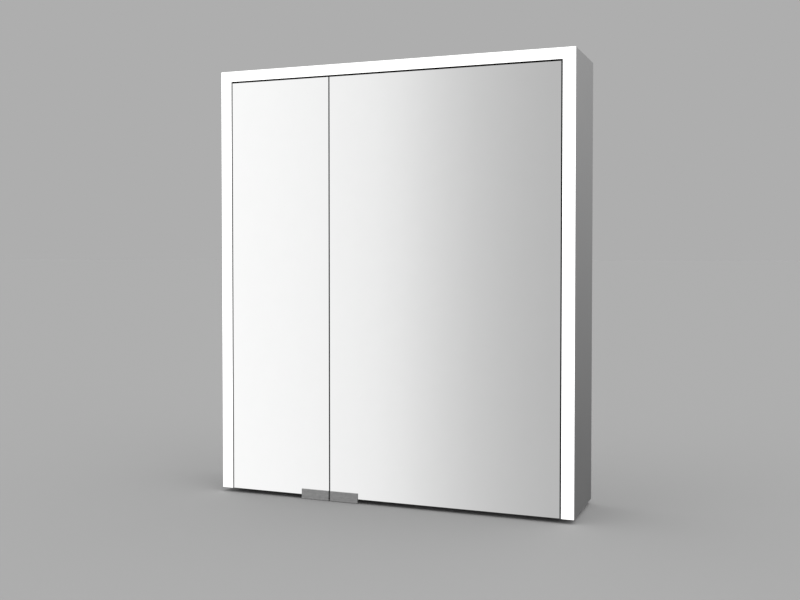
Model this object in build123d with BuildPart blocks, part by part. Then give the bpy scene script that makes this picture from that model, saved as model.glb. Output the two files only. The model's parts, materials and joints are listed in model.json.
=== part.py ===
from build123d import *
import os

# Wall-hung bathroom mirror cabinet with two doors and a lit band round its front.
# Millimetres, +Z up. The cabinet hangs on the wall plane Y = 0 and faces -Y. The origin is the
# middle point between the two wall screws, on the wall plane.

# Outside of the cabinet
width = 600
height = 702
depth = 141  # from the wall to the mirrors
fixing_height = 652  # wall screws above the cabinet's underside

# Body walls
side_t = 19
top_t = 17
bottom_t = 16
skin = 2  # walls of the hollow aluminium profiles
cap_t = 1.5  # end caps under the side profiles
cover_t = 3  # flange of the opal light cover
cover_foot = 3  # its foot inside the light channel
foot_play = 0.3
channel_depth = 19  # light channel behind the cover
web_y = (-78, -76)  # cross web between the two front chambers
chamber_back = -34
rear_chamber = (-32, -2)
rear_chamber_wall = 7  # inner wall of the rear chamber, deep enough for the back panel's groove
groove_play = 0.1
groove_depth = 4
back_y = (-21, -18)  # back panel, which leaves a service space towards the wall
back_edge = 3.5  # how far the back panel reaches into its grooves
bottom_screw_y = (-100, -50)
cleat_leg = 55  # legs of the corner pieces inside the mitres
cleat_play = 0.25

# Doors
door_gap = 2  # at the hinged edges
door_top_gap = 2.5
split_x = -100.4  # middle of the gap between the doors
split_gap = 1.4
glass_t = 3
door_t = 19
panel_inset = 0.7  # door board behind the edge of its mirror
mirror_inset = 1.5  # inside mirror behind the edge of the board
hinge_strip = 46  # strip of the board that takes the hinge cups
glass_bevel = 0.4

# Hinges: one vertical pin each, hidden in a cup in the door
pin_from_edge = 16
pin_from_front = 7
pin_r = 1.5
pin_play = 0.05
barrel_r = 2.9
barrel_play = 0.3  # above and below the barrel
arm_t = 2.5
arm_half_height = 6
arm_reach = 21.75  # the arm's distance from the pin where it goes round the door's edge
arm_end = 62
arm_bends = (4, 12, 5)
cup_wall = 1.5
cup_floor = 0.8
cup_x = (-12.5, 27)  # cup from the pin, positive towards the middle of the door
cup_half_height = 15.5
flange_t = 1
flange_x_end = 31
flange_half_height = 26
hinge_plate_t = 2
hinge_plate_y = (24, 66)  # from the pin
hinge_plate_half_height = 18
hinge_plate_corner = 3
hinge_heights = {"lower": 90, "upper": 600}  # above the underside

# Screws
screw_r = 1.75
screw_head_r = 3.5
screw_head_t = 1.5
small_screw_r = 1.5
small_head_r = 3
arm_screw_r = 2
plate_screw_y = 35  # from the pin
plate_screw_z = 11
arm_screw_y = 50
screw_length = 10

# Grips
handle_width = 48.5
handle_inset = 0.75  # from the door's free edge
handle_above = 9.5  # above the door's lower edge
handle_below = 6.5
handle_t = 1.5
handle_edge = 0.5  # rounding of its front edges
handle_leg = 15  # leg under the door
handle_lip = 4.5
handle_screw_x = 15
handle_screw_y = -131.5
handle_screw_depth = 12

# Inside
shelf_heights = {"lower": 165, "middle": 330, "upper": 495}
shelf_t = 5
shelf_y = (-105, -26)
shelf_play = 1.5
support_y = (-92, -38)
support_r = 2.5
support_tongue = 11
support_tongue_t = 3
support_half_width = 5
support_into_wall = 6
support_pitch = 32
notch_width = 38  # clears the swing of the doors' hinge edges
notch_depth = 8
buffer_r = 4
buffer_t = 1.2
buffer_x = (-225, -120, -80, 225)
buffer_height = 8
bottom_front_gap = 1.5  # behind the doors
cable_slot_half_width = 10  # in the rear edge of the bottom panel
cable_slot_depth = 15

# Light
strip_width = 10
strip_t = 1.2
chip = 3
chip_t = 1
chip_pitch = 25
strip_end = 12

# Service space behind the back panel, heights from the wall screws
driver_half_width = 80
driver_y = (-17, -1)
driver_z = (-56, -16)
driver_ear = 9
driver_ear_t = 2
lead_r = 2
lead_bend = 6
lead_bore_r = 3.5
lead_x = 291
box_x = (-152, -95)
box_wall = 2
block_x = (-146, -116)
block_y = (-14, -5)
block_z = (-36, -24)
terminal_r = 1.9
terminal_pitch = 10
mains_lead_r = 3.5
grommet_x = -131
grommet_r = 6
grommet_flange_r = 8
grommet_flange_t = 2
cable_r = 4
service_x = 70
service_z = (-68, -4)
service_edge = 10
service_t = 1.5
service_screw_x = 65

# Wall rail and hangers
rail_half_length = 265
rail_t = 2
rail_half_height = 12
rail_step = 9
rail_top = 25
rail_hole_x = 200
rail_hole_r = 3
hanger_x = (235, 260)
hanger_wall_x = 281
hanger_y = (-18, -14)
hanger_flange = 3
hanger_bottom = -20
hanger_top = 28
claw_y = (-6, -3)
claw_bottom = 13
hanger_screw_r = 2.4
hanger_head_r = 4
hanger_hole_r = 4.6
hanger_screw_x = 247.5
hanger_screw_z = -6
slot_half_width = 0.5  # of the screwdriver slots
slot_depth = 1

# Socket and light switch
unit_x = (145, 265)
unit_y = (-59, -21)
unit_z = (22, 80)  # above the underside
unit_corner = 3
unit_screw_inset = (6, 8)  # from the unit's side and from its top or bottom
socket_x = 176
socket_r = 21.5
socket_end = -36
recess_r = 19.5
recess_depth = 17.5
contact_r = 2.6
contact_spacing = 19
rocker_x = 235
rocker_width = 23.2
rocker_height = 32
rocker_front = -10.5  # from its pivot
rocker_back = 2
rocker_pivot_y = -50
rocker_pivot_r = 1.5
rocker_tilt = 5
rocker_edge = 1
window_width = 24
window_height = 36
window_end = -44
pivot_length = 27.2
pivot_hole_length = 27.6

# Derived places
z_bottom = -fixing_height
z_top = z_bottom + height
half_width = width / 2
inner_x = half_width - side_t
ceiling_z = z_top - top_t
floor_z = z_bottom + bottom_t
front_y = -depth
profile_y = front_y + cover_t  # front of the aluminium profiles
channel_y = profile_y + channel_depth
door_top = ceiling_z - door_top_gap
door_edge = inner_x - door_gap
door_back = front_y + door_t
board_front = front_y + glass_t
board_back = door_back - glass_t
pin_x = door_edge - pin_from_edge
pin_y = front_y + pin_from_front
bottom_front = door_back + bottom_front_gap
free_edges = {-1: split_x - split_gap / 2, 1: split_x + split_gap / 2}
side_names = {-1: "left", 1: "right"}
unit_mid_z = z_bottom + sum(unit_z) / 2
unit_screws_z = (z_bottom + unit_z[0] + unit_screw_inset[1], z_bottom + unit_z[1] - unit_screw_inset[1])
unit_screw_x = (unit_x[0] + unit_screw_inset[0], unit_x[1] - unit_screw_inset[0])
service_screw_z = sum(service_z) / 2
driver_screw_x = driver_half_width + driver_ear / 2
driver_mid_y = sum(driver_y) / 2
driver_mid_z = sum(driver_z) / 2
foot_inset = skin + foot_play

os.makedirs("parts", exist_ok=True)


def save(piece, name):
    """Name a finished piece and write it to its own file."""
    piece.part.label = name
    export_step(piece.part, f"parts/{name}.step")


def block(x, y, z, mode=Mode.ADD):
    """A block in the part being built, from a pair of limits along each axis."""
    with Locations((sum(x) / 2, sum(y) / 2, sum(z) / 2)):
        Box(abs(x[1] - x[0]), abs(y[1] - y[0]), abs(z[1] - z[0]), mode=mode)


def rod(x, y, z, radius, mode=Mode.ADD):
    """A round rod in the part being built. The place given as a pair of limits is its direction."""
    limits = [place if isinstance(place, tuple) else (place, place) for place in (x, y, z)]
    lengths = [abs(end - start) for start, end in limits]
    along = lengths.index(max(lengths))
    turn = ((0, 90, 0), (90, 0, 0), (0, 0, 0))[along]
    with Locations(Location(tuple(sum(pair) / 2 for pair in limits), turn)):
        Cylinder(radius, lengths[along], mode=mode)


def rect(across, along, mode=Mode.ADD):
    """A rectangle in the sketch being drawn, from a pair of limits along each axis."""
    with Locations((sum(across) / 2, sum(along) / 2)):
        Rectangle(abs(across[1] - across[0]), abs(along[1] - along[0]), mode=mode)


def around(centre, half):
    """The pair of limits half a size either side of a centre."""
    return (centre - half, centre + half)


def mitre(inset):
    """A point (x, z) of the right-hand mitre line, at a distance in from the outer side face."""
    return (half_width - inset, z_top - inset * top_t / side_t)


def from_pin(side, distance):
    """The X of a place at a distance from a door's pin, positive towards the door's middle."""
    return side * (pin_x - distance)


# Body


def side_panel(side):
    """One side wall: a hollow profile with a light channel in front, mitred at its upper end."""
    with BuildPart() as panel:
        with BuildSketch(Plane.XY.offset(z_bottom + cap_t)):
            rect((side * half_width, side * inner_x), (profile_y, 0))
            hollow = (side * (half_width - skin), side * (inner_x + skin))
            rect(hollow, (profile_y, channel_y), mode=Mode.SUBTRACT)
            rect(hollow, (channel_y + skin, web_y[0]), mode=Mode.SUBTRACT)
            rect(hollow, (web_y[1], chamber_back), mode=Mode.SUBTRACT)
            rear = (side * (half_width - skin), side * (inner_x + rear_chamber_wall))
            rect(rear, rear_chamber, mode=Mode.SUBTRACT)
            groove = (back_y[0] - groove_play, back_y[1] + groove_play)
            rect((side * inner_x, side * (inner_x + groove_depth)), groove, mode=Mode.SUBTRACT)
        extrude(amount=height - cap_t)
        outer, inner = mitre(0), mitre(side_t)
        with BuildSketch(Plane.XZ):
            with BuildLine():
                Polyline(
                    (side * outer[0], outer[1]),
                    (side * inner[0], inner[1]),
                    (side * inner[0], outer[1]),
                    close=True,
                )
            make_face()
        extrude(amount=depth, mode=Mode.SUBTRACT)
        through_skin = (side * (inner_x - skin), side * (inner_x + 2 * skin))
        for shelf_z in shelf_heights.values():
            for step in (-support_pitch, 0, support_pitch):
                for y in support_y:
                    z = z_bottom + shelf_z + step - support_r
                    rod(through_skin, y, z, support_r, mode=Mode.SUBTRACT)
        for hinge_z in hinge_heights.values():
            for offset in (-plate_screw_z, plate_screw_z):
                z = z_bottom + hinge_z + offset
                rod(through_skin, pin_y + plate_screw_y, z, screw_r, mode=Mode.SUBTRACT)
            z = z_bottom + hinge_z
            rod(through_skin, pin_y + arm_screw_y, z, arm_screw_r, mode=Mode.SUBTRACT)
        for y in bottom_screw_y:
            rod(through_skin, y, z_bottom + bottom_t / 2, screw_r, mode=Mode.SUBTRACT)
        if side > 0:
            to_chamber = (inner_x - skin, inner_x + rear_chamber_wall + skin)
            rod(to_chamber, driver_mid_y, driver_mid_z, lead_bore_r, mode=Mode.SUBTRACT)
            to_channel = (channel_y - skin, chamber_back + 2 * skin)
            rod(lead_x, to_channel, driver_mid_z, lead_bore_r, mode=Mode.SUBTRACT)
    save(panel, f"{side_names[side]}_side_panel")


for side in side_names:
    side_panel(side)

with BuildPart() as top_panel:
    with BuildSketch(Plane.YZ.offset(-half_width)):
        rect((profile_y, 0), (ceiling_z, z_top))
        hollow = (ceiling_z + skin, z_top - skin)
        rect((profile_y, channel_y), hollow, mode=Mode.SUBTRACT)
        rect((channel_y + skin, web_y[0]), hollow, mode=Mode.SUBTRACT)
        rect((web_y[1], chamber_back), hollow, mode=Mode.SUBTRACT)
        groove = (back_y[0] - groove_play, back_y[1] + groove_play)
        rect(groove, (ceiling_z, ceiling_z + groove_depth), mode=Mode.SUBTRACT)
    extrude(amount=width)
    with BuildSketch(Plane.XZ):
        for side in side_names:
            outer, inner = mitre(0), mitre(side_t)
            with BuildLine():
                Polyline(
                    (side * outer[0], outer[1]),
                    (side * inner[0], inner[1]),
                    (side * outer[0], inner[1]),
                    close=True,
                )
            make_face()
    extrude(amount=depth, mode=Mode.SUBTRACT)
save(top_panel, "top_panel")

with BuildPart() as side_end_caps:
    for side in side_names:
        block((side * half_width, side * inner_x), (profile_y, 0), (z_bottom, z_bottom + cap_t))
save(side_end_caps, "side_end_caps")

with BuildPart() as corner_cleats:
    for side in side_names:
        outer_x = side * (half_width - skin - cleat_play)
        inner_side_x = side * (inner_x + skin + cleat_play)
        leg_x = side * (half_width - cleat_leg)
        outer_z = z_top - skin - cleat_play
        inner_top_z = ceiling_z + skin + cleat_play
        with BuildSketch(Plane.XZ.offset(cleat_play - chamber_back)):
            rect((outer_x, inner_side_x), (z_top - cleat_leg, outer_z))
            rect((outer_x, leg_x), (inner_top_z, outer_z))
        extrude(amount=chamber_back - web_y[1] - 2 * cleat_play)
save(corner_cleats, "corner_cleats")

with BuildPart() as bottom_panel:
    block((-inner_x, inner_x), (bottom_front, 0), (z_bottom, floor_z))
    groove = (back_y[0] - groove_play, back_y[1] + groove_play)
    block((-inner_x, inner_x), groove, (floor_z - groove_depth, floor_z), mode=Mode.SUBTRACT)
    for side in side_names:
        notch_x = (side * inner_x, side * (inner_x - notch_width))
        notch_y = (bottom_front, bottom_front + notch_depth)
        block(notch_x, notch_y, (z_bottom, floor_z), mode=Mode.SUBTRACT)
        for y in bottom_screw_y:
            hole_x = (side * inner_x, side * (inner_x - 2 * screw_length))
            rod(hole_x, y, z_bottom + bottom_t / 2, screw_r, mode=Mode.SUBTRACT)
    slot_x = around(grommet_x, cable_slot_half_width)
    block(slot_x, (-cable_slot_depth, 0), (z_bottom, floor_z), mode=Mode.SUBTRACT)
save(bottom_panel, "bottom_panel")

with BuildPart() as bottom_panel_screws:
    for side in side_names:
        for y in bottom_screw_y:
            z = z_bottom + bottom_t / 2
            rod((side * (inner_x + skin), side * (inner_x - 2 * screw_length)), y, z, screw_r)
            rod((side * (inner_x + skin), side * (inner_x + 2 * skin)), y, z, screw_head_r)
save(bottom_panel_screws, "bottom_panel_screws")

with BuildPart() as back_panel:
    back_x = inner_x + back_edge
    block((-back_x, back_x), back_y, (floor_z - back_edge, ceiling_z + back_edge))
    opening_x = (-service_x + service_edge, service_x - service_edge)
    opening_z = (service_z[0] + service_edge, service_z[1] - service_edge)
    block(opening_x, back_y, opening_z, mode=Mode.SUBTRACT)
    for side in side_names:
        rod(side * hanger_screw_x, back_y, hanger_screw_z, hanger_hole_r, mode=Mode.SUBTRACT)
        for x in (side * service_screw_x, side * driver_screw_x):
            rod(x, back_y, service_screw_z, small_screw_r, mode=Mode.SUBTRACT)
    for x, z in zip(unit_screw_x, unit_screws_z):
        rod(x, back_y, z, small_screw_r, mode=Mode.SUBTRACT)
save(back_panel, "back_panel")

with BuildPart() as service_cover:
    cover_y = (back_y[0] - service_t, back_y[0])
    block((-service_x, service_x), cover_y, service_z)
    fillet(service_cover.edges().filter_by(Axis.Y), radius=service_edge / 2)
    for side in side_names:
        rod(side * service_screw_x, cover_y, service_screw_z, small_screw_r, mode=Mode.SUBTRACT)
save(service_cover, "service_cover")

with BuildPart() as back_panel_screws:
    for side in side_names:
        for x, face, end in (
            (side * service_screw_x, back_y[0] - service_t, back_y[1]),
            (side * driver_screw_x, back_y[0], driver_y[0] + driver_ear_t),
        ):
            rod(x, (face, end), service_screw_z, small_screw_r)
            rod(x, (face - screw_head_t, face), service_screw_z, small_head_r)
    for x, z in zip(unit_screw_x, unit_screws_z):
        rod(x, (back_y[1], back_y[0] - 2 * screw_head_r), z, small_screw_r)
        rod(x, (back_y[1], back_y[1] + screw_head_t), z, small_head_r)
save(back_panel_screws, "back_panel_screws")

with BuildPart() as door_buffers:
    for x in buffer_x:
        rod(x, (bottom_front - buffer_t, bottom_front), z_bottom + buffer_height, buffer_r)
save(door_buffers, "door_buffers")


# Light round the front


def side_band(side, inset, low_end):
    """Outline of the band on one side, drawn in from both edges by the inset."""
    outer, inner = mitre(inset), mitre(side_t - inset)
    return (
        (side * outer[0], low_end),
        (side * outer[0], outer[1]),
        (side * inner[0], inner[1]),
        (side * inner[0], low_end),
    )


def top_band(inset):
    """Outline of the band along the top, drawn in from both edges by the inset."""
    outer, inner = mitre(inset), mitre(side_t - inset)
    return ((-outer[0], outer[1]), outer, inner, (-inner[0], inner[1]))


def light_cover(name, flange, foot):
    """One length of the opal cover: a flange over the whole band and a foot in the channel."""
    with BuildPart() as cover:
        with BuildSketch(Plane.XZ.offset(-profile_y)):
            with BuildLine():
                Polyline(*flange, close=True)
            make_face()
        extrude(amount=cover_t)
        with BuildSketch(Plane.XZ.offset(-profile_y - cover_foot)):
            with BuildLine():
                Polyline(*foot, close=True)
            make_face()
        extrude(amount=cover_foot)
    save(cover, name)


for side, name in side_names.items():
    side_foot = side_band(side, foot_inset, z_bottom + cap_t)
    light_cover(f"light_diffuser_{name}", side_band(side, 0, z_bottom), side_foot)
light_cover("light_diffuser_top", top_band(0), top_band(foot_inset))

board_y = (channel_y - strip_t, channel_y)
chip_y = (channel_y - strip_t - chip_t, channel_y - strip_t)
for side, name in side_names.items():
    with BuildPart() as led_strip:
        strip_x = side * (half_width - side_t / 2)
        block(around(strip_x, strip_width / 2), board_y, (z_bottom + strip_end, ceiling_z))
        chips = int((ceiling_z - z_bottom - 2 * strip_end) / chip_pitch) + 1
        for number in range(chips):
            z = z_bottom + 2 * strip_end + number * chip_pitch
            block(around(strip_x, chip / 2), chip_y, around(z, chip / 2))
    save(led_strip, f"led_strip_{name}")

with BuildPart() as led_strip_top:
    strip_z = z_top - top_t / 2
    block((-inner_x, inner_x), board_y, around(strip_z, strip_width / 2))
    chips = int(2 * inner_x / chip_pitch)
    for number in range(chips):
        x = (number - (chips - 1) / 2) * chip_pitch
        block(around(x, chip / 2), chip_y, around(strip_z, chip / 2))
save(led_strip_top, "led_strip_top")

with BuildPart() as led_driver:
    block((-driver_half_width, driver_half_width), driver_y, driver_z)
    fillet(led_driver.edges().filter_by(Axis.Y), radius=driver_ear_t)
    for side in side_names:
        ear_x = (side * driver_half_width, side * (driver_half_width + driver_ear))
        ear_y = (driver_y[0], driver_y[0] + driver_ear_t)
        block(ear_x, ear_y, around(driver_mid_z, driver_ear))
        rod(side * driver_screw_x, ear_y, driver_mid_z, small_screw_r, mode=Mode.SUBTRACT)
save(led_driver, "led_driver")

with BuildPart() as led_lead:
    with BuildLine() as lead_path:
        FilletPolyline(
            (driver_half_width, driver_mid_y, driver_mid_z),
            (lead_x, driver_mid_y, driver_mid_z),
            (lead_x, channel_y, driver_mid_z),
            radius=lead_bend,
        )
    with BuildSketch(Plane(origin=(driver_half_width, driver_mid_y, driver_mid_z), z_dir=(1, 0, 0))):
        Circle(lead_r)
    sweep(path=lead_path.line)
save(led_lead, "led_lead")

# Mains side: terminal box, its block and the lead to the driver

with BuildPart() as terminal_box:
    block(box_x, driver_y, driver_z)
    inside_x = (box_x[0] + box_wall, box_x[1] - box_wall)
    inside_z = (driver_z[0] + box_wall, driver_z[1] - box_wall)
    block(inside_x, (driver_y[0] + box_wall, driver_y[1]), inside_z, mode=Mode.SUBTRACT)
    grommet_z = (driver_z[0], driver_z[0] + box_wall)
    rod(grommet_x, driver_mid_y, grommet_z, grommet_r, mode=Mode.SUBTRACT)
    wall_x = (box_x[1] - box_wall, box_x[1])
    rod(wall_x, driver_mid_y, driver_mid_z, mains_lead_r, mode=Mode.SUBTRACT)
save(terminal_box, "terminal_box")

with BuildPart() as terminal_block:
    block(block_x, (block_y[0], block_y[1]), block_z)
    block(block_x, (driver_y[0] + box_wall, block_y[0]), around(sum(block_z) / 2, box_wall))
    for number in (-1, 0, 1):
        x = sum(block_x) / 2 + number * terminal_pitch
        rod(x, driver_mid_y, block_z, terminal_r, mode=Mode.SUBTRACT)
save(terminal_block, "terminal_block")

grommet_top = driver_z[0] + 2 * box_wall
with BuildPart() as cable_grommet:
    rod(grommet_x, driver_mid_y, (driver_z[0] - grommet_flange_t, driver_z[0]), grommet_flange_r)
    rod(grommet_x, driver_mid_y, (driver_z[0], grommet_top), grommet_r)
    bore = (driver_z[0] - grommet_flange_t, grommet_top)
    rod(grommet_x, driver_mid_y, bore, cable_r, mode=Mode.SUBTRACT)
save(cable_grommet, "cable_grommet")

with BuildPart() as mains_lead:
    rod((box_x[1] - 2 * box_wall, -driver_half_width), driver_mid_y, driver_mid_z, mains_lead_r)
save(mains_lead, "mains_lead")

# Wall rail and the hangers that hook over it

with BuildPart() as wall_rail:
    with BuildSketch(Plane.YZ.offset(-rail_half_length)):
        rect((-rail_t, 0), (-rail_half_height, rail_half_height))
        rect((-rail_step, 0), (rail_half_height - rail_t, rail_half_height))
        rect((-rail_step, -rail_step + rail_t), (rail_half_height - rail_t, rail_top))
    extrude(amount=2 * rail_half_length)
    for side in side_names:
        rod(side * rail_hole_x, (-rail_t, 0), 0, rail_hole_r, mode=Mode.SUBTRACT)
save(wall_rail, "wall_rail")

for side, name in side_names.items():
    with BuildPart() as hanger:
        plate_x = (side * hanger_x[0], side * hanger_wall_x)
        flange_x = (side * (hanger_wall_x - hanger_flange), side * hanger_wall_x)
        block(plate_x, hanger_y, (hanger_bottom, hanger_top))
        block(flange_x, (hanger_y[0], claw_y[1]), (hanger_bottom, rail_half_height))
        claw_x = (side * hanger_x[0], side * hanger_x[1])
        block(claw_x, (hanger_y[0], claw_y[1]), (rail_top, hanger_top))
        block(claw_x, claw_y, (claw_bottom, hanger_top))
        rod(side * hanger_screw_x, hanger_y, hanger_screw_z, hanger_screw_r, mode=Mode.SUBTRACT)
    save(hanger, f"hanger_{name}")

with BuildPart() as hanger_screws:
    for side in side_names:
        x = side * hanger_screw_x
        rod(x, back_y, hanger_screw_z, hanger_head_r)
        rod(x, (hanger_y[0], hanger_y[1] + skin), hanger_screw_z, hanger_screw_r)
        slot_y = (back_y[0], back_y[0] + slot_depth)
        slot_z = around(hanger_screw_z, slot_half_width)
        block(around(x, hanger_head_r), slot_y, slot_z, mode=Mode.SUBTRACT)
save(hanger_screws, "hanger_screws")

# Shelves

for name, shelf_z in shelf_heights.items():
    with BuildPart() as shelf:
        shelf_x = inner_x - shelf_play
        block((-shelf_x, shelf_x), shelf_y, (z_bottom + shelf_z, z_bottom + shelf_z + shelf_t))
        fillet(shelf.edges().filter_by(Axis.Z).group_by(Axis.Y)[0], radius=shelf_t)
        chamfer(shelf.edges().group_by(Axis.Y)[0].filter_by(Axis.X), length=glass_bevel)
    save(shelf, f"glass_shelf_{name}")

with BuildPart() as shelf_supports:
    for shelf_z in shelf_heights.values():
        for side in side_names:
            for y in support_y:
                z = z_bottom + shelf_z
                rod((side * inner_x, side * (inner_x + support_into_wall)), y, z - support_r, support_r)
                tongue_x = (side * inner_x, side * (inner_x - support_tongue))
                tongue_z = (z - support_tongue_t, z)
                block(tongue_x, around(y, support_half_width), tongue_z)
save(shelf_supports, "shelf_supports")

# Socket and light switch unit

with BuildPart() as socket_box:
    block(unit_x, unit_y, (z_bottom + unit_z[0], z_bottom + unit_z[1]))
    fillet(socket_box.edges().filter_by(Axis.Y), radius=unit_corner)
    rod(socket_x, (unit_y[0], socket_end), unit_mid_z, socket_r, mode=Mode.SUBTRACT)
    window_x = around(rocker_x, window_width / 2)
    window_z = around(unit_mid_z, window_height / 2)
    block(window_x, (unit_y[0], window_end), window_z, mode=Mode.SUBTRACT)
    pivot_x = around(rocker_x, pivot_hole_length / 2)
    pivot_hole_r = rocker_pivot_r + pin_play
    rod(pivot_x, rocker_pivot_y, unit_mid_z, pivot_hole_r, mode=Mode.SUBTRACT)
    for x, z in zip(unit_screw_x, unit_screws_z):
        hole_y = (unit_y[1], unit_y[1] - 2 * screw_head_r)
        rod(x, hole_y, z, small_screw_r, mode=Mode.SUBTRACT)
save(socket_box, "socket_box")

with BuildPart() as socket_insert:
    rod(socket_x, (unit_y[0], socket_end), unit_mid_z, socket_r)
    recess_y = (unit_y[0], unit_y[0] + recess_depth)
    rod(socket_x, recess_y, unit_mid_z, recess_r, mode=Mode.SUBTRACT)
    for side in side_names:
        x = socket_x + side * contact_spacing / 2
        rod(x, (unit_y[0], socket_end), unit_mid_z, contact_r, mode=Mode.SUBTRACT)
save(socket_insert, "socket_insert")

rocker_plane = Plane(
    origin=(rocker_x, rocker_pivot_y, unit_mid_z),
    x_dir=(1, 0, 0),
    z_dir=(0, 0, 1),
).rotated((rocker_tilt, 0, 0))
with BuildPart(rocker_plane) as switch_rocker:
    block(
        around(0, rocker_width / 2),
        (rocker_front, rocker_back),
        around(0, rocker_height / 2),
    )
    front_edges = switch_rocker.edges().filter_by(Axis.X).group_by(Axis.Y)[0]
    fillet(front_edges, radius=rocker_edge)
    rod(around(0, pivot_length / 2), 0, 0, rocker_pivot_r)
save(switch_rocker, "switch_rocker")


# Hinges: the cabinet's half


def hinge_arm(side, hinge_z):
    """The swan-neck arm: a barrel on the pin, a neck round the door's edge and a leg on the wall."""
    wall_leg = pin_x - inner_x + hinge_plate_t + arm_t / 2
    with BuildPart() as arm:
        with BuildSketch(Plane.XY.offset(hinge_z - arm_half_height)):
            with BuildLine():
                FilletPolyline(
                    (from_pin(side, 0), pin_y),
                    (from_pin(side, arm_reach), pin_y),
                    (from_pin(side, arm_reach), pin_y + arm_reach),
                    (from_pin(side, wall_leg), pin_y + arm_reach),
                    (from_pin(side, wall_leg), pin_y + arm_end),
                    radius=arm_bends,
                )
            trace(line_width=arm_t)
        extrude(amount=2 * arm_half_height)
        barrel = around(hinge_z, cup_half_height - cup_wall - barrel_play)
        rod(from_pin(side, 0), pin_y, barrel, barrel_r)
        rod(from_pin(side, 0), pin_y, barrel, pin_r + pin_play, mode=Mode.SUBTRACT)
        leg_x = (side * inner_x, from_pin(side, arm_t))
        rod(leg_x, pin_y + arm_screw_y, hinge_z, arm_screw_r, mode=Mode.SUBTRACT)
    return arm


for side, side_name in side_names.items():
    for height_name, hinge_height in hinge_heights.items():
        hinge_z = z_bottom + hinge_height
        with BuildPart() as hinge_plate:
            plate_x = (side * inner_x, side * (inner_x - hinge_plate_t))
            plate_y = (pin_y + hinge_plate_y[0], pin_y + hinge_plate_y[1])
            block(plate_x, plate_y, around(hinge_z, hinge_plate_half_height))
            fillet(hinge_plate.edges().filter_by(Axis.X), radius=hinge_plate_corner)
            for offset in (-plate_screw_z, plate_screw_z):
                z = hinge_z + offset
                rod(plate_x, pin_y + plate_screw_y, z, screw_r, mode=Mode.SUBTRACT)
            rod(plate_x, pin_y + arm_screw_y, hinge_z, arm_screw_r, mode=Mode.SUBTRACT)
        save(hinge_plate, f"{side_name}_hinge_plate_{height_name}")
        save(hinge_arm(side, hinge_z), f"{side_name}_hinge_arm_{height_name}")

with BuildPart() as hinge_plate_screws:
    for side in side_names:
        for hinge_height in hinge_heights.values():
            for offset in (-plate_screw_z, plate_screw_z):
                z = z_bottom + hinge_height + offset
                y = pin_y + plate_screw_y
                face = side * (inner_x - hinge_plate_t)
                rod((face, face + side * screw_length), y, z, screw_r)
                rod((face, face - side * screw_head_t), y, z, screw_head_r)
save(hinge_plate_screws, "hinge_plate_screws")

with BuildPart() as hinge_arm_screws:
    for side in side_names:
        for hinge_height in hinge_heights.values():
            z = z_bottom + hinge_height
            y = pin_y + arm_screw_y
            face = side * (inner_x - hinge_plate_t - arm_t)
            rod((face, face + side * screw_length), y, z, arm_screw_r)
            rod((face, face - side * screw_head_t), y, z, screw_head_r)
save(hinge_arm_screws, "hinge_arm_screws")


# Doors


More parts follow.
